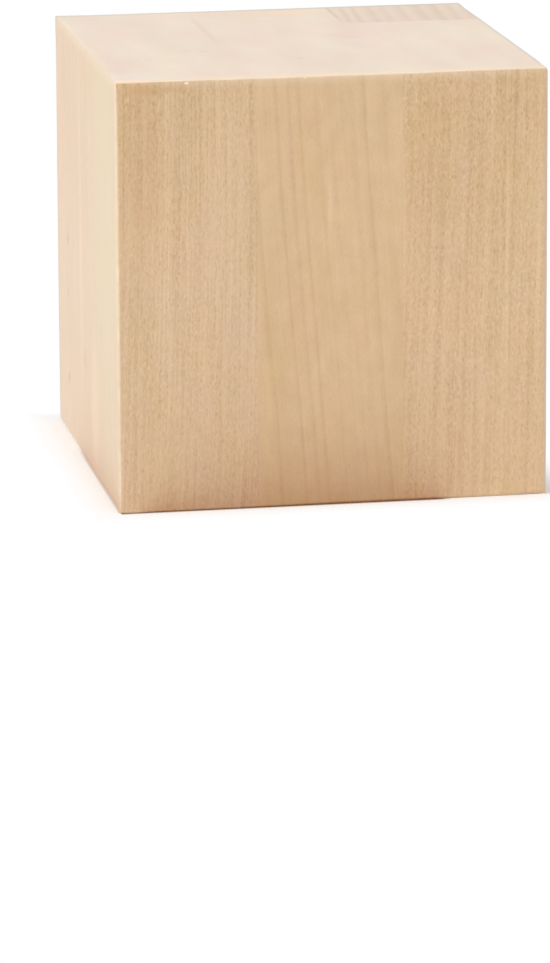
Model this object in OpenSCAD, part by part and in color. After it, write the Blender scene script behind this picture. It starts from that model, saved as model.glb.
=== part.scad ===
// Glued hardwood cube, sanded on all six faces.
//
// Three boards are laminated side by side, and the right-hand board is itself
// edge-joined from a wide front strip and a narrow back strip. The grain of
// every piece runs up the cube, so the top and bottom faces are end grain.
// The cube is sanded after it is glued, so each piece is its own share of one
// block whose outer edges are eased.
//
// Frame: origin at the middle of the bottom face, +Z up along the grain,
// front face at -Y and right-hand face at +X. Lengths are in millimetres.

/* [Cube] */
// Side of the finished cube
side = 76.2; // [60:0.1:120]
// Radius sanded on the outer edges
edge_r = 0.4; // [0.2:0.1:3]

/* [Laminations] */
// Thickness of the left-hand board
left_board_t = 24.6; // [10:0.1:28]
// Thickness of the middle board
middle_board_t = 25.8; // [10:0.1:28]
// Depth of the narrow strip at the back of the right-hand board
back_strip_d = 20; // [6:0.1:45]

/* [Hidden] */
// How far a piece's cutting box reaches past the block on its outer sides
past = 1;
// Planes of the outer faces and of the glue joints
left_x = -side / 2;
right_x = side / 2;
front_y = -side / 2;
back_y = side / 2;
left_joint_x = left_x + left_board_t;
right_joint_x = left_joint_x + middle_board_t;
strip_joint_y = back_y - back_strip_d;

$fn = 64;

// Square section of the block, with its four corners eased
module eased_section() {
    square([side - 2 * edge_r, side], center = true);
    square([side, side - 2 * edge_r], center = true);
    for (x = [-1, 1], y = [-1, 1])
        translate([x, y] * (side / 2 - edge_r))
            circle(r = edge_r);
}

// The section run along one axis, long enough to leave its ends uncut
module eased_bar() {
    linear_extrude(height = side + 2 * past, center = true)
        eased_section();
}

// The whole sanded block: three bars crossed, which eases all twelve edges
module eased_block() {
    translate([0, 0, side / 2])
        intersection() {
            eased_bar();
            rotate([90, 0, 0]) eased_bar();
            rotate([0, 90, 0]) eased_bar();
        }
}

// One piece of wood: what the block holds between two planes each way
module piece(x_from, x_to, y_from, y_to) {
    intersection() {
        eased_block();
        translate([x_from, y_from, -past])
            cube([x_to - x_from, y_to - y_from, side + 2 * past]);
    }
}

module left_board() {
    color("burlywood")
        piece(left_x - past, left_joint_x, front_y - past, back_y + past);
}

module middle_board() {
    color("wheat")
        piece(left_joint_x, right_joint_x, front_y - past, back_y + past);
}

module right_front_strip() {
    color("tan")
        piece(right_joint_x, right_x + past, front_y - past, strip_joint_y);
}

module right_back_strip() {
    color("navajowhite")
        piece(right_joint_x, right_x + past, strip_joint_y, back_y + past);
}

left_board();
middle_board();
right_front_strip();
right_back_strip();
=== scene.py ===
import math

import bpy
import numpy as np
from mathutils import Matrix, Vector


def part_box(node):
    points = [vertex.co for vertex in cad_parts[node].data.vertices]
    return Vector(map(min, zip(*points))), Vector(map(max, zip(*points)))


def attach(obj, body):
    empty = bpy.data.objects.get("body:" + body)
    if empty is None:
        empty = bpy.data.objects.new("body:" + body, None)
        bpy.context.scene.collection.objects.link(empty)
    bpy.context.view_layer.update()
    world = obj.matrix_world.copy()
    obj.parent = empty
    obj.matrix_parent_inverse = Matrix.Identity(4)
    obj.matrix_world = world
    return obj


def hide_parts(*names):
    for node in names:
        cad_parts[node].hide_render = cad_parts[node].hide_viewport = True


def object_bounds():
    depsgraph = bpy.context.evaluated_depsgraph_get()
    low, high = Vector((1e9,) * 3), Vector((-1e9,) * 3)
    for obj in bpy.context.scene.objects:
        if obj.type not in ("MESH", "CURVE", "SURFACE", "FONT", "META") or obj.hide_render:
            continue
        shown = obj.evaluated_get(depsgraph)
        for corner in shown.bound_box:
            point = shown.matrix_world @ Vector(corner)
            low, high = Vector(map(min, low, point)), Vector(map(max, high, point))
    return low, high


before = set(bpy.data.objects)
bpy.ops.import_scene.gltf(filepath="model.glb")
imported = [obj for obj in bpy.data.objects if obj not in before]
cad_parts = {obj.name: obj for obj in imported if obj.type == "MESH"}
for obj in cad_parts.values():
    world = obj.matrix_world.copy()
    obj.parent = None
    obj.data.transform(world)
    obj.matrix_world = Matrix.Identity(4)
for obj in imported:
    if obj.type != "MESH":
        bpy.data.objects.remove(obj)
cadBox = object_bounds()
mm = 0.001
low = np.array(cadBox[0]) / mm          # the block's lowest and highest corner in mm
high = np.array(cadBox[1]) / mm
print("frame loaded:", ", ".join(sorted(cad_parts)))


# one output of a node; sums of these add Math nodes to the material
class Shade:
    def __init__(self, paint, socket):
        self.paint = paint
        self.socket = socket

    def maths(self, operation, *others):
        values = dict(enumerate((self,) + others))
        return self.paint.add("Math", {"operation": operation}, values)

    def __add__(self, other):
        return self.maths("ADD", other)

    def __radd__(self, other):
        return self.maths("ADD", other)

    def __sub__(self, other):
        return self.maths("SUBTRACT", other)

    def __rsub__(self, other):
        return self.paint.add("Math", {"operation": "SUBTRACT"}, {0: other, 1: self})

    def __mul__(self, other):
        return self.maths("MULTIPLY", other)

    def __rmul__(self, other):
        return self.maths("MULTIPLY", other)

    def __truediv__(self, other):
        return self.maths("DIVIDE", other)

    def __pow__(self, other):
        return self.maths("POWER", other)


# the node tree of one material or of the world
class Paint:
    def __init__(self, owner):
        owner.use_nodes = True
        self.tree = owner.node_tree
        self.tree.nodes.clear()

    # settings go on the node first, then values and links go into its sockets
    def add(self, kind, settings=None, sockets=None, out=0):
        made = self.tree.nodes.new("ShaderNode" + kind)
        for name, value in (settings or {}).items():
            if name == "stops":
                self.setStops(made.color_ramp, value)
            else:
                setattr(made, name, value)
        for name, value in (sockets or {}).items():
            if isinstance(value, Shade):
                self.tree.links.new(value.socket, made.inputs[name])
            else:
                made.inputs[name].default_value = value
        return Shade(self, made.outputs[out]) if made.outputs else None

    # stops are (place, grey level) pairs in rising order
    def setStops(self, ramp, stops):
        ramp.interpolation = "LINEAR"
        for place, level in stops[1:-1]:
            ramp.elements.new(place).color = (level, level, level, 1)
        for element, (place, level) in ((ramp.elements[0], stops[0]), (ramp.elements[-1], stops[-1])):
            element.position = place
            element.color = (level, level, level, 1)

    def vector(self, operation, first, second):
        slot = "Scale" if operation == "SCALE" else 1
        return self.add("VectorMath", {"operation": operation}, {0: first, slot: second})

    # one of a vector's X, Y and Z
    def part(self, vector, axis):
        return self.add("SeparateXYZ", None, {0: vector}, out=axis)

    # smooth step from 0 at start to 1 at end, which may lie below start
    def step(self, value, start, end):
        settings = {"interpolation_type": "SMOOTHSTEP"}
        return self.add("MapRange", settings, {"Value": value, "From Min": start, "From Max": end})

    # places drawn together along the wood, so that noise on them comes out long
    def fibres(self, place, across, along, shift):
        drawn = self.vector("MULTIPLY", place, (1 / across, 1 / across, 1 / along))
        return self.vector("ADD", drawn, (shift, shift * 0.7, shift * 1.3))

    # grain noise, 0 to 1, with its own scale in mm across and along the wood
    def grain(self, place, across, along, detail=2.0, rough=0.5, shift=0.0):
        moved = self.fibres(place, across, along, shift)
        sockets = {"Vector": moved, "Scale": 1.0, "Detail": detail, "Roughness": rough}
        return self.add("TexNoise", None, sockets)

    # short dashes along the wood, 0 to 1, each with a strength of its own
    def dashes(self, place, across, along, width, shift=0.0):
        moved = self.fibres(place, across, along, shift)
        cells = self.add("TexVoronoi", None, {"Vector": moved, "Scale": 1.0})
        chance = self.add("TexVoronoi", None, {"Vector": moved, "Scale": 1.0}, out="Color")
        strength = self.add("SeparateColor", None, {0: chance})
        return self.step(cells, width, width * 0.4) * self.step(strength, 0.2, 1.0)

    # a colour between first and second
    def blend(self, amount, first, second):
        return self.add("Mix", {"data_type": "RGBA"}, {0: amount, 6: first, 7: second}, out=2)

    # a surface between first and second
    def cover(self, amount, first, second):
        return self.add("MixShader", None, {0: amount, 1: first, 2: second})

    def glow(self, colour, strength=1.0):
        return self.add("Emission", None, {"Color": (*colour, 1), "Strength": strength})


# a screen colour, 0 to 255, as the linear colour that Blender works in
def tone(red, green, blue):
    linear = [((c / 255 + 0.055) / 1.055) ** 2.4 for c in (red, green, blue)]
    return (*linear, 1.0)


view = {
    "place": (-178.5 * mm, -996.0 * mm, 236.7 * mm),
    "turn": (76.573, 0.334, -10.020),   # degrees about X, Y and Z
    "lens": 213.46,                     # mm
    "sensor": 36.0,                     # mm, width that the lens is given for
    "clip": (0.01, 50.0),               # metres
}


def makeCamera():
    data = bpy.data.cameras.new("camera")
    data.lens = view["lens"]
    data.sensor_width = view["sensor"]
    data.clip_start, data.clip_end = view["clip"]
    camera = bpy.data.objects.new("camera", data)
    camera.location = view["place"]
    camera.rotation_euler = [math.radians(angle) for angle in view["turn"]]
    bpy.context.collection.objects.link(camera)
    bpy.context.scene.camera = camera


# lengths in metres
studio = {
    "sky": 0.62,                        # strength of the white room light
    "key": {"from": (-1.35, -0.40, 1.05), "size": 0.9, "watts": 17.8},
    "fill": {"from": (1.0, -1.2, 0.7), "size": 1.1, "watts": 4.4},
    "floorSide": 8.0,
    "floorColour": 0.88,
    "floorGlow": 0.08,                  # light that the lens sees in the floor even in full shade
    "shadowReach": 0.007,               # from the foot to where the floor is white again
    "frontLine": {                      # painted contact shadow: a thin dark line under the front foot
        "colour": (0.13, 0.055, 0.022),
        "reach": (0.0010, -0.0003),     # out from the foot to where it ends, and to where it is full
        "under": 0.0005,                # in from the foot, what belongs to it
        "start": 0.0002,                # from the left corner
        "free": (0.0185, 0.0215),       # X at which it fades, and is gone
    },
    "sideLine": {                       # painted contact shade: a faint warm line along the left and right foot
        "colour": (0.58, 0.30, 0.13),
        "share": 0.5,
        "reach": (0.0003, -0.0001),
        "free": (0.002, 0.016),         # Y at which it fades, and is gone
    },
    "footShadeColour": (0.34, 0.11, 0.0),    # painted shade: the dark warm colour that the floor gives back close to the foot, at the places below, which the lens doesn't see
    "footUnder": 0.001,                 # in from the foot, what gives it back too
    # full and none: along the foot from the middle; close and reach: out from it, to full and to none
    "footPlaces": [
        {"along": "X", "middle": -0.002, "full": 0.012, "none": 0.029,
         "close": 0.009, "reach": 0.026, "share": 1.0},
        {"along": "X", "middle": -0.007, "full": 0.0245, "none": 0.0295,
         "close": 0.005, "reach": 0.009, "share": 1.0},
        {"along": "Y", "middle": -0.0135, "full": 0.0225, "none": 0.0285,
         "close": 0.002, "reach": 0.009, "share": 0.64},
    ],
}


def makeLamp(name, look):
    data = bpy.data.lights.new(name, "AREA")
    data.shape = "SQUARE"
    data.size = look["size"]
    data.energy = look["watts"]
    lamp = bpy.data.objects.new(name, data)
    lamp.location = look["from"]
    middle = (cadBox[0] + cadBox[1]) / 2
    lamp.rotation_euler = (middle - lamp.location).to_track_quat("-Z", "Y").to_euler()
    bpy.context.collection.objects.link(lamp)


# 1 for rays of the given kinds, 0 for all others
def raysOf(paint, *kinds):
    found = 0.0
    for kind in kinds:
        found = paint.add("LightPath", out="Is " + kind + " Ray").maths("MAXIMUM", found)
    return found


# a soft light on the block, and white wherever the lens sees the room
def makeWorld():
    world = bpy.data.worlds.new("room")
    bpy.context.scene.world = world
    paint = Paint(world)
    seen = raysOf(paint, "Camera", "Glossy", "Transmission")
    strength = studio["sky"] + (1 - studio["sky"]) * seen
    light = paint.add("Background", None, {"Color": (1, 1, 1, 1), "Strength": strength})
    paint.add("OutputWorld", None, {"Surface": light})


# how much of the painted shade colour by the foot each spot of the floor gives back
def footShade(paint, flat):
    near = 0.0
    for spot in studio["footPlaces"]:
        along = flat[spot["along"]]
        across = flat["Y" if spot["along"] == "X" else "X"]
        out = cadBox[0][0] - across
        within = paint.step((along - spot["middle"]).maths("ABSOLUTE"), spot["none"], spot["full"])
        within = within * paint.step(out, spot["reach"], spot["close"])
        within = within * out.maths("GREATER_THAN", -studio["footUnder"])
        near = (within * spot["share"]).maths("MAXIMUM", near)
    return near


# the thin lines along the foot, drawn over the floor as painted contact shadows
def drawContactShadows(paint, flat, away, surface):
    front = studio["frontLine"]
    inFront = flat["Y"].maths("LESS_THAN", cadBox[0][1] + front["under"])
    held = 1 - paint.step(flat["X"], *front["free"])
    held = held * flat["X"].maths("GREATER_THAN", cadBox[0][0] + front["start"])
    dark = paint.step(cadBox[0][1] - flat["Y"], *front["reach"]) * held * inFront
    surface = paint.cover(dark, surface, paint.glow(front["colour"]))
    side = studio["sideLine"]
    warm = paint.step(away, *side["reach"]) * (1 - paint.step(flat["Y"], *side["free"]))
    return paint.cover(warm * (1 - inFront) * side["share"], surface, paint.glow(side["colour"]))


def makeFloor():
    half = studio["floorSide"] / 2
    corners = [(-half, -half, 0), (half, -half, 0), (half, half, 0), (-half, half, 0)]
    mesh = bpy.data.meshes.new("floor")
    mesh.from_pydata(corners, [], [(0, 1, 2, 3)])
    floor = bpy.data.objects.new("floor", mesh)
    bpy.context.collection.objects.link(floor)
    material = bpy.data.materials.new("paleFloor")
    paint = Paint(material)
    place = paint.add("TexCoord", out="Object")
    flat = {axis: paint.part(place, axis) for axis in "XY"}
    away = flat["X"].maths("ABSOLUTE").maths("MAXIMUM", flat["Y"].maths("ABSOLUTE")) - cadBox[1][0]
    near = footShade(paint, flat)
    pale = (*[studio["floorColour"]] * 3, 1)
    # light that bounces off the floor takes its painted shade by the foot
    returned = paint.add("BsdfDiffuse", None, {"Color": paint.blend(near, pale, (*studio["footShadeColour"], 1))})
    # the lens sees a pale floor with the block's shadow, and white from a little way off
    matt = paint.add("BsdfDiffuse", None, {"Color": pale})
    shaded = paint.add("AddShader", None, {0: matt, 1: paint.glow((1, 1, 1), studio["floorGlow"])})
    shaded = drawContactShadows(paint, flat, away, shaded)
    clear = paint.step(away, 0.0, studio["shadowReach"])
    seenFloor = paint.cover(clear, shaded, paint.glow((1, 1, 1)))
    gloss = raysOf(paint, "Glossy") * (1 - near)
    seen = raysOf(paint, "Camera", "Transmission").maths("MAXIMUM", gloss)
    paint.add("OutputMaterial", None, {"Surface": paint.cover(seen, returned, seenFloor)})
    mesh.materials.append(material)


makeCamera()
makeWorld()
makeLamp("keyLight", studio["key"])
makeLamp("fillLight", studio["fill"])
makeFloor()
bpy.context.scene.view_settings.view_transform = "Standard"
print("camera, light and floor made")


# the block's shape, lengths in mm
block = {
    "pitch": 0.62,                      # grid on the faces
    "edgeSteps": (0.05, 0.11, 0.18, 0.26, 0.35, 0.45, 0.56, 0.70, 0.86, 1.04),  # grid in from an outer edge
    "chipLines": 9,                     # grid lines across a chip
    "gridGap": 0.02,                    # least gap between two grid lines
    "sharpFrom": 42,                    # degrees between two faces that shade as a sharp edge
    "easing": 0.46,                     # radius sanded on the outer edges
    "easingDrift": {"share": 0.30, "length": 23.0, "seed": 1.3},
    "softer": 0.42,                     # more radius on the right, back and left edges
    "softReach": 7.0,                   # over which an edge turns softer
    "leftTop": 0.5,                     # share by which the left top edge is softer again
    "leftTopReach": 8.0,                # from the back, where it isn't
    "belly": 0.15,                      # share of the softness half way up the front left edge
    "bellyHeight": 34.0,
    "rightTopReach": 9.0,               # from the front, over which the right top edge turns crisp
    "backSoft": (10.0, -30.0),          # X from which the back turns soft, and where it is
    "cornerReach": 0.8,                 # from the front right top corner
    "footTrim": 0.35,                   # share of the radius gone at the left of the front foot
    "footTrimAt": (2.0, -18.0),         # X from which, and where it is full
    "browTrim": 0.30,                   # the same at both ends of the front top edge
    "browMiddle": -4.0,
    "browTrimAt": (18.0, 32.0),         # from its middle
    "backTrim": 0.45,                   # and at the right of the back top edge
    "backTrimAt": (0.0, 20.0),
    "crispReach": 7.0,                  # from the back left top corner, where the edges stay crisp
    "crisp": 0.35,                      # share of the radius left there
    "wave": 0.012,                      # unevenness left by the sanding
    "waveLength": 31.0,
    "groove": 0.016,                    # depth of the hairline at a glue joint
    "grooveWidth": 0.07,                # on each side of the joint
    "leftSink": 0.19,                   # sanded off the left side at its back top corner
    "leftSinkAt": ((-8.0, 38.0), (22.0, 76.0)),     # Y and Z from which, and where it is full
    "chipCurve": 1.5,                   # power: higher is gentler at the chip's rim
    "chips": [
        {"at": (-25.7, -38.1, 75.62), "size": (0.46, 0.32, 0.26), "depth": 0.20},
        {"at": (-5.0, -38.1, 75.82), "size": (0.30, 0.24, 0.14), "depth": 0.10},
    ],
}
farOff = 99.0                           # mm, beyond the reach of any joint or of the painted light and wear on the edges
close = 0.01                            # mm, near enough to lie on a side


# 0 at start, rising evenly to 1 at end, which may lie below start
def rise(value, start, end):
    return np.clip((value - start) / (end - start), 0, 1)


# 0 far inside, 1 on the side at the given place
def nearness(value, side):
    share = np.clip(1 - abs(value - side) / block["softReach"], 0, 1)
    return share * share * (3 - 2 * share)


# smooth, repeatable unevenness between -1 and 1: three waves, each as strong as 1.5 at most
def ripple(points, length, seed):
    x, y, z = points.T
    total = 0
    waves = 3
    for step in range(1, waves + 1):
        turn = 2 * math.pi * step / length
        total = total + np.sin(turn * (x + 0.31 * y) + seed * step) * np.sin(turn * 0.83 * z + 2.1 * seed)
        total = total + np.sin(turn * 0.9 * (y - 0.27 * z) + 1.7 * seed + step) / 2
    return total / (1.5 * waves)


# a factor that comes and goes around 1
def drifting(points, drift):
    return 1 + drift["share"] * ripple(points, drift["length"], drift["seed"])


# grid lines along one axis: close together near an eased edge, a joint or a chip
def gridLines(start, end, axis):
    lines = set(np.linspace(start, end, round((end - start) / block["pitch"]) + 1))
    jointSteps = (block["grooveWidth"] / 2, block["grooveWidth"], 3 * block["grooveWidth"])
    for side, way, outer in ((start, 1, start == low[axis]), (end, -1, end == high[axis])):
        lines.update(side + way * step for step in (block["edgeSteps"] if outer else jointSteps))
    for chip in block["chips"]:
        shares = np.linspace(-1, 1, block["chipLines"])
        lines.update(chip["at"][axis] + share * chip["size"][axis] for share in shares)
    kept = [start]
    for line in sorted(line for line in lines if start < line < end):
        if line - kept[-1] > block["gridGap"] and end - line > block["gridGap"]:
            kept.append(line)
    return np.array(kept + [end])


# the points and quads of a closed box ruled by three lists of grid lines
def boxShell(lines):
    counts = [len(line) for line in lines]
    grid = np.indices(counts)
    onSkin = np.zeros(counts, bool)
    for axis, count in enumerate(counts):
        onSkin |= (grid[axis] == 0) | (grid[axis] == count - 1)
    index = np.full(counts, -1)
    index[onSkin] = np.arange(onSkin.sum())
    points = np.stack([lines[axis][grid[axis][onSkin]] for axis in range(3)], 1)
    quads = []
    for axis in range(3):
        for last in (False, True):
            sheet = np.take(index, -1 if last else 0, axis)
            corners = [sheet[:-1, :-1], sheet[1:, :-1], sheet[1:, 1:], sheet[:-1, 1:]]
            if last == (axis == 1):
                corners.reverse()
            quads.append(np.stack(corners, -1).reshape(-1, 4))
    return points, np.concatenate(quads)


# the sanded radius: smallest along the front edges, softer at the right, the back and the left top
def edgeRadius(points):
    x, y, z = points.T
    front = nearness(y, low[1])
    back = nearness(y, high[1])
    foot = nearness(z, low[2])
    top = nearness(z, high[2])
    topFront = top * front * rise(high[0] - x, 0, block["cornerReach"])
    radius = block["easing"] * drifting(points, block["easingDrift"])
    radius = radius * (1 - block["footTrim"] * foot * front * rise(x, *block["footTrimAt"]))
    trim = block["browTrim"] * topFront * rise(abs(x - block["browMiddle"]), *block["browTrimAt"])
    trim = trim + block["backTrim"] * top * back * rise(x, *block["backTrimAt"])
    radius = radius * (1 - trim)
    belly = np.clip(1 - (z / block["bellyHeight"] - 1) ** 2, 0, 1)
    softLeft = nearness(x, low[0]) * (1 - front * (1 - block["belly"] * belly)) * (1 + block["leftTop"] * top)
    softLeft = softLeft * np.clip((high[1] - y) / block["leftTopReach"] + 1 - top, 0, 1)
    crispTop = top * rise(y - low[1], 0, block["rightTopReach"])
    softRight = nearness(x, high[0]) * (1 - topFront) * (1 - crispTop)
    softBack = back * rise(x, *block["backSoft"])
    radius = radius + block["softer"] * np.maximum.reduce([softRight, softBack, softLeft])
    corner = (low[0], high[1], high[2])
    far = np.linalg.norm(points - corner, axis=1)
    return radius * (block["crisp"] + (1 - block["crisp"]) * rise(far, 0, block["crispReach"]))


# painted highlight, sheen and shade on the edges, the highlight partly paler sanded wood; lengths in mm;
# reach: in from the edge to where each ends, and is full
edgeLightAndWear = {
    "eased": 0.16,                      # turn away from the faces at which an edge gets its full painted light and wear
    "turned": 0.3,                      # turn towards a side at which that side's wear is full
    "footFree": (1.0, 2.0),             # height at which the painted light and wear on the edges start, and are full
    "topFrontDrift": {"share": 0.3, "length": 17.0, "seed": 4.1},
    "topFrontAt": (78.0, 18.0),         # X towards which it thins, and from which it does
    # painted highlight on the front face below its top edge
    "front": {"share": 0.44, "reach": (1.7, 0.4), "middle": 6.0, "along": (45.6, 21.6)},
    # painted highlight on the front left edge and on the left side beside it
    "upright": {"share": 0.52, "beside": 0.8, "reach": (2.0, 0.4), "height": (0.0, 4.0)},
    "leftDrift": {"share": 0.7, "length": 9.0, "seed": 2.7},
    # painted highlight on the top and the left side beside the left top edge
    "leftTop": {"share": 0.30, "reach": (1.84, 0.44), "back": 16.0, "least": 0.3},
    "leftTopDrift": {"share": 0.6, "length": 13.0, "seed": 3.3},
    "right": 0.45,                      # share of the painted highlight on the right edges
    "dull": 0.5,                        # share of the painted shade on the right and back edges
    "shadeRim": (2.8, 0.8),                  # reach of the painted shade rim of the top and the left side
    "rimRight": 2.6,                    # how much narrower it is at the right
    "rimFree": 1.0,                     # none this near the front
}


# how much painted highlight, painted sheen and painted shade each point gets, 0 to 1, the highlight partly
# paler sanded wood; outward is the way that its surface looks
def edgeLightAndWearMasks(points, outward, onEdge):
    x, y, z = points.T
    eased = rise(1 - abs(outward).max(1), 0, edgeLightAndWear["eased"]) * onEdge
    eased = eased * rise(z - low[2], *edgeLightAndWear["footFree"])
    toLeft = rise(-outward[:, 0], 0, edgeLightAndWear["turned"])
    toRight = rise(outward[:, 0], 0, edgeLightAndWear["turned"])
    toFront = rise(-outward[:, 1], 0, edgeLightAndWear["turned"])
    toBack = rise(outward[:, 1], 0, edgeLightAndWear["turned"])
    toTop = rise(outward[:, 2], 0, edgeLightAndWear["turned"])
    onTop = z > high[2] - close
    onLeft = x < low[0] + close
    onFront = y < low[1] + close

    topFront = eased * toFront * toTop * rise(x, *edgeLightAndWear["topFrontAt"])
    topFront = topFront * drifting(points, edgeLightAndWear["topFrontDrift"])
    look = edgeLightAndWear["front"]
    front = look["share"] * rise(high[2] - z, *look["reach"]) * onFront
    front = front * rise(abs(x - look["middle"]), *look["along"])
    leftDrift = drifting(points, edgeLightAndWear["leftDrift"])
    look = edgeLightAndWear["upright"]
    upright = np.maximum(eased * toLeft * toFront, look["beside"] * rise(y - low[1], *look["reach"]) * onLeft)
    upright = look["share"] * upright * leftDrift * rise(z, *look["height"])
    look = edgeLightAndWear["leftTop"]
    fromEdge = np.where(onTop, x - low[0], np.where(onLeft, high[2] - z, farOff))
    leftTop = look["share"] * rise(fromEdge, *look["reach"]) * drifting(points, edgeLightAndWear["leftTopDrift"])
    leftTop = leftTop * (1 - eased) * np.clip((high[1] - y) / look["back"], look["least"], 1)
    # all painted highlight on the edges, partly paler sanded wood
    pale = np.maximum.reduce([topFront, front, upright, leftTop, edgeLightAndWear["right"] * eased * toRight])

    # painted shade along the back of the top and the left side, narrower at the right, and on the edges
    # turned from the light
    fromBack = high[1] - y
    fromRim = np.minimum(edgeLightAndWear["rimRight"] * (high[0] - x), fromBack)
    fromRim = np.where(onTop, fromRim, np.where(onLeft, fromBack, farOff))
    shadeRim = rise(fromRim, *edgeLightAndWear["shadeRim"]) * (y > low[1] + edgeLightAndWear["rimFree"])
    dull = np.maximum(edgeLightAndWear["dull"] * eased * np.maximum(toRight, toBack), shadeRim)
    # returned: the painted highlight, the painted sheen on the left top edge and the painted shade
    return {"pale": pale, "cream": eased * toLeft * toTop * leftDrift, "dull": dull}


# 1 on a glue joint, 0 beyond its hairline
def jointSeam(points, start, end):
    joint = np.full(len(points), farOff)
    for axis in range(3):
        for plane, side in ((start[axis], low[axis]), (end[axis], high[axis])):
            if plane != side:
                joint = np.minimum(joint, abs(points[:, axis] - plane))
    return np.clip(1 - joint / block["grooveWidth"], 0, 1)


# 0 outside a chip, rising to 1 in its middle
def chipBite(points, chip):
    far = (((points - chip["at"]) / chip["size"]) ** 2).sum(1)
    return np.clip(1 - far, 0, 1)


def makePiece(name, look):
    node = look["node"]
    start, end = (np.array(corner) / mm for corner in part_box(node))
    # an outer side lies on the block's own side, and any other is a glue joint
    start = np.where(abs(start - low) < close, low, start)
    end = np.where(abs(end - high) < close, high, end)
    points, quads = boxShell([gridLines(start[axis], end[axis], axis) for axis in range(3)])

    # a point in the outer shell moves onto the eased surface, and in by what has been sanded or torn off it
    radius = edgeRadius(points)[:, None]
    away = np.maximum(points - high + radius, 0) - np.maximum(low + radius - points, 0)
    length = np.linalg.norm(away, axis=1, keepdims=True)
    outward = np.divide(away, length, out=np.zeros_like(away), where=length > 0)
    widest = abs(away).max(axis=1, keepdims=True)
    seam = jointSeam(points, start, end)
    bites = [chipBite(points, chip) for chip in block["chips"]]
    sink = block["wave"] * (1 + ripple(points, block["waveLength"], look["seed"])) / 2
    sink = sink + look["sunk"] + block["groove"] * seam
    alongY, alongZ = block["leftSinkAt"]
    leftSink = rise(points[:, 1], *alongY) * rise(points[:, 2], *alongZ)
    sink = sink + block["leftSink"] * rise(-outward[:, 0], 0, 1) * leftSink
    for chip, bite in zip(block["chips"], bites):
        sink = sink + chip["depth"] * bite ** block["chipCurve"]
    placed = points - away + outward * widest - outward * widest / radius * sink[:, None]

    mesh = bpy.data.meshes.new(name)
    mesh.from_pydata((placed * mm).tolist(), [], quads.tolist())
    masks = edgeLightAndWearMasks(points, outward, length[:, 0] > 0)
    masks.update(seam=seam, chipped=np.maximum.reduce(bites))
    for label, values in masks.items():
        mesh.attributes.new(label, "FLOAT", "POINT").data.foreach_set("value", values.astype(np.float32))
    mesh.shade_smooth()
    mesh.set_sharp_from_angle(angle=math.radians(block["sharpFrom"]))
    piece = bpy.data.objects.new(name, mesh)
    bpy.context.collection.objects.link(piece)
    mesh.materials.append(makeWood(name + "Wood", look))
    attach(piece, "root")
    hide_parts(node)
    print(name, "made:", len(placed), "points,", len(quads), "faces")


# what all four pieces' wood has in common, lengths in mm
wood = {
    "reach": 30,                        # screen levels from the middle tone to the pale and the dark one
    "endReach": 14,                     # the same on the end grain
    "fineShare": (0.82, 1.0, 1.12),     # how far red, green and blue follow the figure
    "drift": (0.052, 0.018, 0.060),     # how far red, green and blue wander, in linear light
    "driftScale": (0.17, 0.17, 0.10),   # waves in a mm
    "swaySize": (22.0, 40.0),           # sizes across and along the wood, here of the grain's wavering
    "patchSize": (4.0, 13.0),           # parts where rings and pores are stronger
    "streakAlong": 26.0,
    "bandSize": (2.4, 60.0),
    "cloudSize": (2.6, 4.0),
    "mottleSize": (11.0, 22.0),
    "hueSize": (8.0, 12.0),
    "endFacing": (0.55, 0.85),          # turn up or down from which there is end grain, and only that
    "sideFacing": (0.6, 0.8),           # the same for the faces that look along X
    "poreWidth": 0.42,                  # share of its cell
    "ringMean": 0.25,                   # the rings' mean darkness, which leaves the tone as it is
    "ringPatch": (0.3, 1.4),            # the rings where they are patchy least, and what the patches add
    "porePatch": (0.35, 1.3),           # the same for the pores
    "fleckStreak": 3,                   # how much stronger the flecks are in a dark streak
    "endStretch": (1, 0.35, 1, 1),      # the clouds are long from front to back on the end grain
    "mottle": 0.85,                     # darkness that the mottling adds on the end grain
    "hueDark": 0.28,                    # how much lighter its second tone is
    "hueSpread": (-0.35, 1.7),          # least, and range, of the mix of its two tones
    "warmHeight": (30.0, 74.0),         # height from which the long sides turn to their second tone
    "warmShare": 0.9,
    "warmMottle": (-0.45, 1.3),         # added to the mottling, and how far the sum shifts that turn
    "litAndWorn": {                           # share and tone of the painted highlight, sheen and shade on the edges, the highlight partly paler sanded wood
        "pale": (0.65, (244, 226, 203)),
        "cream": (0.60, (219, 197, 171)),
        "dull": (0.85, (190, 180, 163)),
    },
    "strip": {                          # warm strip on the top behind the front edge
        "share": 0.6,
        "tone": (246, 211, 172),
        "reach": (3.8, 1.0),            # in from the front to where it ends, and is full
        "across": (-30.0, -18.0),       # X from which, and where it is full
        "wander": 4,
    },
    "chip": {"tone": (251, 231, 205), "full": 0.6},     # fresh wood in a chip
    "glueTone": (170, 138, 106),
    "rough": 0.52,
    "roughDrift": 0.2,
    "relief": (0.6, 0.4),               # shares of flecks and streaks
    "bump": 0.25,
    "bumpDepth": 0.05,
    "sheen": 0.42,
    "sheenRough": 0.36,
    "polish": 0.36,                     # weight of the faint gloss that the sanding leaves
    "polishRough": 0.4,
}


# a tone made lighter or darker by some screen levels
def shifted(levels, by):
    return tone(*(min(max(level + by * share, 0), 255) for level, share in zip(levels, wood["fineShare"])))


# between two tones by amount, and from the pale to the dark form of that by darkness
def shadedTone(paint, darkness, reach, amount, tones):
    pale, dark = (paint.blend(amount, *(shifted(levels, by) for levels in tones)) for by in (reach, -reach))
    return paint.blend(darkness, pale, dark)


# how far out a growth ring lies at a spot across the grain; numbers or shades both do
def ringDepth(look, x, y):
    turn = math.radians(look["ringTurn"])
    out = x * math.cos(turn) + y * math.sin(turn)
    along = y * math.cos(turn) - x * math.sin(turn)
    return out + along * along / (2 * look["ringRadius"])


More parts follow.
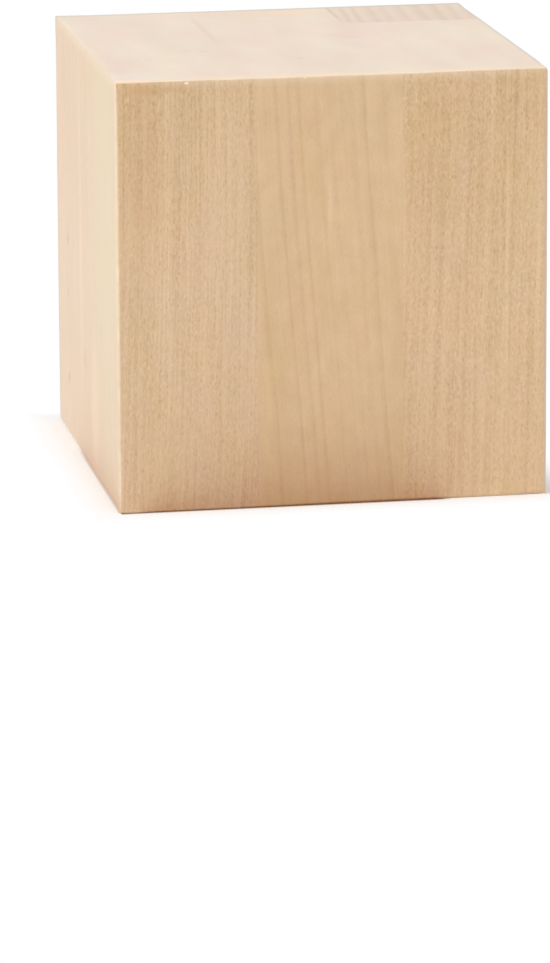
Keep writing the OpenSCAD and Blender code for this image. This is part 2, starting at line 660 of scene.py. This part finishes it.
# growth rings: pale just outside each line, then slowly darker up to the next one
def growthRings(paint, look, x, y):
    lines = sorted((ringDepth(look, place, look["linesAt"]), strength) for place, strength in look["lines"])
    first = lines[0][0]
    span = lines[-1][0] - first
    fade = look["lineFade"] / span
    stops = [(0.0, lines[0][1]), (fade, 0.0)]
    for depth, strength in lines[1:-1]:
        start = (depth - first) / span
        stops += [(start, strength), (start + fade, 0.0)]
    stops.append((1.0, lines[-1][1]))
    place = (ringDepth(look, x, y) - first) / span
    ramp = paint.add("ValToRGB", {"stops": stops}, {0: place.maths("FRACT")})
    return ramp ** look["lineSharp"]


# soft spots: each has a place, half sizes in mm and what it adds
def spots(paint, place, entries):
    total = 0.0
    for at, size, strength in entries:
        far = paint.vector("DIVIDE", paint.vector("SUBTRACT", place, at), size)
        far = paint.add("VectorMath", {"operation": "LENGTH"}, {0: far}, out="Value")
        total = paint.step(far, 1.0, 0.25) * strength + total
    return total


# what runs through the board along its grain
def makeFigure(paint, look, straight):
    seed = look["seed"]
    across = look["poreAcross"]
    along = look["poreAlong"]
    patchy = paint.grain(straight, *wood["patchSize"], detail=1.0, shift=seed + 17)
    least, more = wood["ringPatch"]
    rings = growthRings(paint, look, paint.part(straight, "X"), paint.part(straight, "Y"))
    streakSize = (look["streakAcross"], wood["streakAlong"])
    fleckSize = (look["fleckAcross"], look["fleckAlong"])
    return {
        "patchy": patchy,
        "rings": rings * (least + patchy * more) - wood["ringMean"],
        "streaks": paint.grain(straight, *streakSize, detail=3.0, rough=0.6, shift=seed),
        "bands": paint.grain(straight, *wood["bandSize"], shift=seed + 5),
        "flecks": paint.grain(straight, *fleckSize, rough=0.7, shift=seed + 3),
        "pores": paint.dashes(straight, across, along, wood["poreWidth"], seed + 11),
        "glints": paint.dashes(straight, across * 1.1, along * 0.8, wood["poreWidth"], seed + 31),
    }


# darkness of the figure on the long sides, around 0
def sideFigure(look, figure):
    least, more = wood["porePatch"]
    dark = figure["rings"] * look["ringDark"] + (0.5 - figure["streaks"]) * look["streak"]
    dark = dark + (0.5 - figure["bands"]) * look["band"]
    flecked = 1 + (0.5 - figure["streaks"]) * wood["fleckStreak"]
    dark = dark + (0.5 - figure["flecks"]) * look["fleck"] * flecked
    dark = dark + figure["pores"] * (least + figure["patchy"] * more) * look["pore"]
    return dark - figure["glints"] * look["glint"]


# the warm strip, the painted highlight, sheen and shade on the edges, glue and chips over the wood's own
# colour
def addEdgeLightAndWear(paint, look, place, endGrain, sway, colour):
    strip = wood["strip"]
    near, full = strip["reach"]
    depth = paint.part(place, "Y") + (sway - 0.5) * strip["wander"]
    striped = paint.step(depth, low[1] + near, low[1] + full)
    striped = striped * paint.step(paint.part(place, "X"), *strip["across"])
    colour = paint.blend(striped * endGrain * strip["share"], colour, tone(*strip["tone"]))
    # painted highlight, partly paler sanded wood, and painted sheen and shade on the edges
    for label, (share, levels) in wood["litAndWorn"].items():
        litAndWorn = paint.add("Attribute", {"attribute_name": label}, out="Fac")
        colour = paint.blend(litAndWorn * share, colour, tone(*levels))
    seam = paint.add("Attribute", {"attribute_name": "seam"}, out="Fac")
    glue = seam * (look["sideGlue"] + endGrain * (look["endGlue"] - look["sideGlue"]))
    colour = paint.blend(glue, colour, tone(*wood["glueTone"]))
    chipped = paint.add("Attribute", {"attribute_name": "chipped"}, out="Fac")
    return paint.blend(paint.step(chipped, 0.0, wood["chip"]["full"]), colour, tone(*wood["chip"]["tone"]))


def makeWood(name, look):
    material = bpy.data.materials.new(name)
    paint = Paint(material)
    place = paint.vector("SCALE", paint.add("TexCoord", out="Object"), 1 / mm)
    normal = paint.add("NewGeometry", out="Normal")
    endGrain = paint.step(paint.part(normal, "Z").maths("ABSOLUTE"), *wood["endFacing"])
    toSide = paint.step(paint.part(normal, "X").maths("ABSOLUTE"), *wood["sideFacing"])

    # the grain leans, bows and wanders, so the rings and the fibres do too
    middle = (high[2] - low[2]) / 2
    height = paint.part(place, "Z")
    down = (middle - height) / middle
    sway = paint.grain(place, *wood["swaySize"], detail=1.0, shift=look["seed"] + 21)
    sideways = down * look["lean"] + down * down * look["bow"] + (sway - 0.5) * look["wander"]
    straight = paint.vector("SUBTRACT", place, paint.add("CombineXYZ", None, {"X": sideways}))
    figure = makeFigure(paint, look, straight)

    # soft clouds, mottling and hue, and the spots that stand alone
    stretched = paint.vector("MULTIPLY", place, paint.blend(endGrain, (1, 1, 1, 1), wood["endStretch"]))
    seed = look["endSeed"]
    clouds = 0.5 - paint.grain(stretched, *wood["cloudSize"], detail=1.0, shift=seed + 43)
    mottle = paint.grain(stretched, *wood["mottleSize"], shift=seed + 7)
    least, spread = wood["hueSpread"]
    hue = paint.grain(stretched, *wood["hueSize"], detail=1.0, shift=seed + 51) * spread + least
    spotted = spots(paint, place, look["marks"])

    # darkness: 0 is the pale tone, 1 the dark one
    side = sideFigure(look, figure) * (1 - down * look["fade"]) * (1 - toSide * (1 - look["faceShare"]))
    side = side + clouds * look["cloud"] + spotted + 0.5
    end = 0.5 + figure["rings"] * look["endRingDark"] + (0.5 - figure["flecks"]) * look["endFleck"]
    end = end + (0.5 - mottle) * wood["mottle"] + (0.5 - hue) * wood["hueDark"]
    end = end + clouds * look["endCloud"] + spotted
    least, spread = wood["warmMottle"]
    warm = paint.step(height, *wood["warmHeight"]) * wood["warmShare"] + (mottle + least) * spread
    onSide = shadedTone(paint, side, wood["reach"], warm, (look["sideTone"], look["sideToneToo"]))
    onEnd = shadedTone(paint, end, wood["endReach"], hue, (look["endTone"], look["endToneToo"]))
    colour = paint.blend(endGrain, onSide, onEnd)
    for at, size, share, levels in look["tints"]:
        colour = paint.blend(spots(paint, place, [(at, size, share)]), colour, tone(*levels))

    # faint drift in hue
    drift = paint.vector("MULTIPLY", stretched, wood["driftScale"])
    drift = paint.add("TexNoise", None, {"Vector": drift, "Scale": 1.0, "Detail": 3.0}, out="Color")
    drift = paint.vector("MULTIPLY", paint.vector("SUBTRACT", drift, (0.5, 0.5, 0.5)), wood["drift"])
    colour = paint.vector("ADD", colour, drift)
    colour = addEdgeLightAndWear(paint, look, place, endGrain, sway, colour)

    fleckRelief, streakRelief = wood["relief"]
    relief = figure["flecks"] * fleckRelief + figure["streaks"] * streakRelief
    bump = {"Strength": wood["bump"], "Distance": wood["bumpDepth"] * mm, "Height": relief}
    surface = paint.add("BsdfPrincipled", None, {
        "Base Color": colour,
        "Roughness": wood["rough"] + (0.5 - figure["flecks"]) * wood["roughDrift"],
        "Normal": paint.add("Bump", None, bump, out="Normal"),
        "Sheen Weight": wood["sheen"],
        "Sheen Roughness": wood["sheenRough"],
        "Coat Weight": wood["polish"],
        "Coat Roughness": wood["polishRough"],
    })
    paint.add("OutputMaterial", None, {"Surface": surface})
    return material


leftBoard = {
    "node": "left_board",
    "slot": "left_board_wood",
    "seed": 2.0,                        # start of its noise
    "endSeed": 5.0,                     # the same on the end grain
    "sunk": 0.0,                        # mm by which its faces lie lower
    "lean": -0.9,                       # mm that the grain shifts along X from the middle to the foot
    "bow": -0.4,                        # mm more at both the foot and the top
    "wander": 0.8,                      # mm that it wavers
    "ringTurn": 16.0,                   # degrees from +X to the outward side of the rings
    "ringRadius": 1500.0,               # mm
    "linesAt": low[1],                  # Y at which the lines below are given
    "lines": [                          # X and strength of each growth line
        (-37.0, 0.5), (-36.1, 0.8), (-34.4, 1.0), (-32.8, 0.45), (-31.7, 0.6), (-30.4, 0.6), (-27.8, 0.7),
        (-26.4, 0.7), (-25.0, 0.6), (-23.7, 0.7), (-21.4, 0.5), (-19.4, 0.7), (-16.9, 0.5), (-14.7, 0.9),
    ],
    "lineFade": 0.7,                    # mm over which a line ends
    "lineSharp": 1.6,                   # power that keeps the dark close to the line
    "ringDark": 0.13,                   # how much darker the rings are
    "endRingDark": 0.03,                # the same on the end grain
    "streak": 0.59,                     # how strong the long streaks are
    "streakAcross": 0.40,               # mm, their width
    "band": 0.1,                        # how strong the broad bands are
    "fleck": 0.67,                      # how strong the flecks are
    "fleckAcross": 0.42,                # mm
    "fleckAlong": 1.0,                  # mm
    "endFleck": 0.30,                   # how strong they are on the end grain
    "pore": 0.23,                       # how dark the pores are
    "poreAcross": 0.42,                 # mm
    "poreAlong": 1.1,                   # mm
    "glint": 0.12,                      # how pale the pale dashes are
    "fade": 0.15,                       # share by which the figure fades to the foot and grows to the top
    "sideGlue": 0.02,                   # strength of the glue line on the long sides
    "endGlue": 0.04,                    # and on the end grain
    "sideTone": (216, 181, 142),        # middle tone low on the long sides
    "sideToneToo": (210, 175, 131),     # and high on them
    "endTone": (233, 201, 176),         # the two tones of the end grain
    "endToneToo": (228, 207, 175),
    "faceShare": 0.42,                  # how much of the figure shows on the faces that look along X
    "cloud": 0.10,                      # how strong the soft clouds are
    "endCloud": 0.2,                    # and on the end grain
    "marks": [                          # place, half sizes, added darkness
        ((-33.6, -38.1, 61.0), (4.6, 2.0, 19.0), 0.10),
        ((-24.5, -38.1, 70.5), (4.5, 2.0, 8.0), 0.08),
        ((-31.0, -38.1, 74.6), (5.5, 1.0, 1.4), 0.20),
        ((-32.8, -38.1, 71.0), (4.0, 1.0, 5.0), 0.07),
        ((-34.2, -38.1, 37.0), (3.6, 1.0, 14.0), 0.06),
        ((-19.0, -38.1, 54.0), (5.0, 2.0, 26.0), -0.09),
        ((-29.2, -38.1, 44.0), (0.45, 1.0, 50.0), -0.08),
        ((-25.7, -38.1, 56.0), (0.40, 1.0, 28.0), -0.05),
        ((-38.1, 27.0, 66.0), (1.0, 3.0, 14.0), 0.10),
        ((-38.1, 7.0, 44.0), (1.0, 2.6, 52.0), -0.16),
        ((-38.1, -9.0, 13.0), (1.0, 7.0, 17.0), -0.20),
        ((-38.1, 23.6, 37.2), (0.6, 0.9, 1.8), 0.75),
        ((-38.1, 23.9, 27.2), (0.6, 0.7, 1.5), 0.45),
        ((-38.1, 23.9, 11.2), (0.6, 0.9, 1.6), 0.75),
        ((-38.1, -17.9, 28.2), (0.6, 1.6, 2.4), 0.30),
        ((-38.1, 3.0, 19.0), (0.6, 2.4, 3.0), 0.20),
        ((-14.0, 17.0, 76.2), (0.55, 21.0, 1.0), 0.40),
        ((-21.1, -8.4, 76.2), (2.2, 1.8, 1.0), 0.20),
        ((-17.9, -8.6, 76.2), (1.6, 1.6, 1.0), 0.25),
        ((-28.8, -12.9, 76.2), (1.0, 8.0, 1.0), 0.15),
        ((-32.6, -18.9, 76.2), (1.4, 1.8, 1.0), 0.18),
    ],
    "tints": [                          # place, half sizes, share, tone
        # painted light: the left side lighter and yellower towards its front
        ((-38.1, -25.0, 46.0), (1.3, 25.0, 58.0), 0.70, (215, 193, 149)),
        ((-33.3, -38.1, 74.6), (3.8, 0.6, 1.4), 0.6, (207, 163, 117)),
        ((-34.0, -38.1, 60.0), (7.0, 0.6, 30.0), 0.16, (218, 173, 131)),
        ((-19.0, -38.1, 50.0), (8.0, 0.6, 36.0), 0.2, (217, 183, 155)),
        ((-34.5, -33.5, 76.2), (7.5, 7.0, 0.6), 0.55, (231, 214, 192)),
        # painted highlight on the front top edge and the top just behind it, near the left corner
        ((-37.0, -37.9, 76.3), (8.0, 2.8, 0.6), 0.8, (251, 216, 178)),
        ((-38.1, 31.0, 60.0), (0.6, 9.0, 28.0), 0.4, (228, 177, 141)),
    ],
}

makePiece("leftBoard", leftBoard)

middleBoard = {
    "node": "middle_board",
    "slot": "middle_board_wood",
    "seed": 5.0,
    "endSeed": 5.0,
    "sunk": 0.010,
    "lean": 2.8,
    "bow": 0.1,
    "wander": 1.4,
    "ringTurn": 38.0,
    "ringRadius": 160.0,
    "linesAt": low[1],
    "lines": [
        (-14.6, 0.6), (-11.9, 0.9), (-9.4, 0.3), (-7.7, 1.0), (-5.4, 0.9), (-3.6, 1.0), (-0.4, 0.7),
        (2.0, 0.5), (3.6, 0.6), (5.4, 0.7), (7.8, 1.0), (11.5, 0.6), (14.2, 0.5),
    ],
    "lineFade": 0.55,
    "lineSharp": 2.8,
    "ringDark": 0.165,
    "endRingDark": 0.03,
    "streak": 0.19,
    "streakAcross": 0.60,
    "band": 0.13,
    "fleck": 0.21,
    "fleckAcross": 0.42,
    "fleckAlong": 0.85,
    "endFleck": 0.25,
    "pore": 0.08,
    "poreAcross": 0.42,
    "poreAlong": 1.1,
    "glint": 0.05,
    "fade": 0,
    "sideGlue": 0.02,
    "endGlue": 0.04,
    "sideTone": (214, 179, 134),
    "sideToneToo": (214, 179, 135),
    "endTone": (233, 201, 176),
    "endToneToo": (228, 207, 175),
    "faceShare": 1.0,
    "cloud": 0.26,
    "endCloud": 0.2,
    "marks": [
        ((-0.6, -38.1, 53.0), (0.55, 1.0, 6.5), -0.12),
        ((-9.0, -38.1, 30.0), (4.5, 2.0, 42.0), 0.03),
        ((-3.0, -38.1, 68.0), (16.0, 2.0, 20.0), 0.03),
        ((0.0, -38.1, 20.0), (15.0, 2.0, 15.0), -0.05),
        ((-13.4, 17.0, 76.2), (0.35, 21.0, 1.0), 0.40),
        ((0.9, 9.1, 76.2), (4.5, 7.0, 1.0), 0.10),
        ((8.4, 4.6, 76.2), (3.2, 3.6, 1.0), 0.16),
        ((10.6, 2.1, 76.2), (2.0, 2.6, 1.0), 0.16),
        ((-2.5, -19.4, 76.2), (1.0, 1.6, 1.0), 0.35),
    ],
    "tints": [
        ((-2.0, 33.0, 76.2), (16.0, 8.0, 1.3), 0.7, (233, 199, 168)),
        ((5.0, 32.5, 76.2), (7.0, 4.0, 1.3), 0.6, (247, 207, 168)),
    ],
}

makePiece("middleBoard", middleBoard)

rightFrontStrip = {
    "node": "right_front_strip",
    "slot": "right_front_wood",
    "seed": 9.0,
    "endSeed": 5.0,
    "sunk": 0.004,
    "lean": -1.0,
    "bow": -0.15,
    "wander": 0.7,
    "ringTurn": 160.0,
    "ringRadius": 300.0,
    "linesAt": low[1],
    "lines": [
        (12.9, 0.5), (14.4, 0.6), (16.3, 0.4), (18.6, 0.8), (21.2, 0.7), (23.5, 0.9), (25.5, 0.8),
        (27.8, 0.9), (31.6, 1.0), (33.5, 0.5), (35.0, 0.9), (37.4, 0.6),
    ],
    "lineFade": 0.7,
    "lineSharp": 1.6,
    "ringDark": 0.16,
    "endRingDark": 0.03,
    "streak": 0.44,
    "streakAcross": 0.42,
    "band": 0.2,
    "fleck": 0.69,
    "fleckAcross": 0.42,
    "fleckAlong": 0.85,
    "endFleck": 0.25,
    "pore": 0.24,
    "poreAcross": 0.42,
    "poreAlong": 1.1,
    "glint": 0.14,
    "fade": 0.1,
    "sideGlue": 0.02,
    "endGlue": 0.04,
    "sideTone": (216, 180, 138),
    "sideToneToo": (210, 174, 128),
    "endTone": (234, 202, 177),
    "endToneToo": (229, 208, 176),
    "faceShare": 0.8,
    "cloud": 0.14,
    "endCloud": 0.2,
    "marks": [
        ((17.5, -38.1, 58.0), (6.5, 2.0, 26.0), 0.08),
        ((30.5, -38.1, 66.0), (4.5, 2.0, 14.0), 0.05),
        ((36.6, -38.1, 46.0), (2.4, 2.0, 44.0), -0.08),
        ((28.9, -38.1, 65.0), (1.6, 2.0, 19.0), -0.14),
        ((19.5, -38.1, 62.0), (1.0, 2.0, 11.0), -0.08),
        ((30.8, -38.1, 40.0), (0.40, 1.0, 60.0), -0.10),
    ],
    "tints": [],
}

makePiece("rightFrontStrip", rightFrontStrip)

rightBackStrip = {
    "node": "right_back_strip",
    "slot": "right_back_wood",
    "seed": 14.0,
    "endSeed": 14.0,
    "sunk": 0.012,
    "lean": 0.8,
    "bow": 0.2,
    "wander": 0.7,
    "ringTurn": -6.0,
    "ringRadius": 900.0,
    "linesAt": 27.0,
    "lines": [
        (12.7, 0.6), (15.0, 1.0), (17.0, 1.0), (20.2, 0.7), (22.8, 0.6), (26.0, 0.8), (29.5, 0.9),
        (32.6, 1.0), (35.3, 0.8), (38.2, 0.7),
    ],
    "lineFade": 1.1,
    "lineSharp": 1.3,
    "ringDark": 0.20,
    "endRingDark": 0.65,
    "streak": 0.40,
    "streakAcross": 0.42,
    "band": 0.16,
    "fleck": 0.60,
    "fleckAcross": 0.42,
    "fleckAlong": 0.85,
    "endFleck": 0.30,
    "pore": 0.20,
    "poreAcross": 0.42,
    "poreAlong": 1.1,
    "glint": 0.12,
    "fade": 0.15,
    "sideGlue": 0.05,
    "endGlue": 0.10,
    "sideTone": (213, 177, 134),
    "sideToneToo": (210, 174, 129),
    "endTone": (223, 190, 161),
    "endToneToo": (221, 193, 160),
    "faceShare": 0.8,
    "cloud": 0.14,
    "endCloud": 0.2,
    "marks": [((12.5, 28.0, 76.2), (0.7, 12.0, 1.0), 0.6)],
    "tints": [],
}

makePiece("rightBackStrip", rightBackStrip)
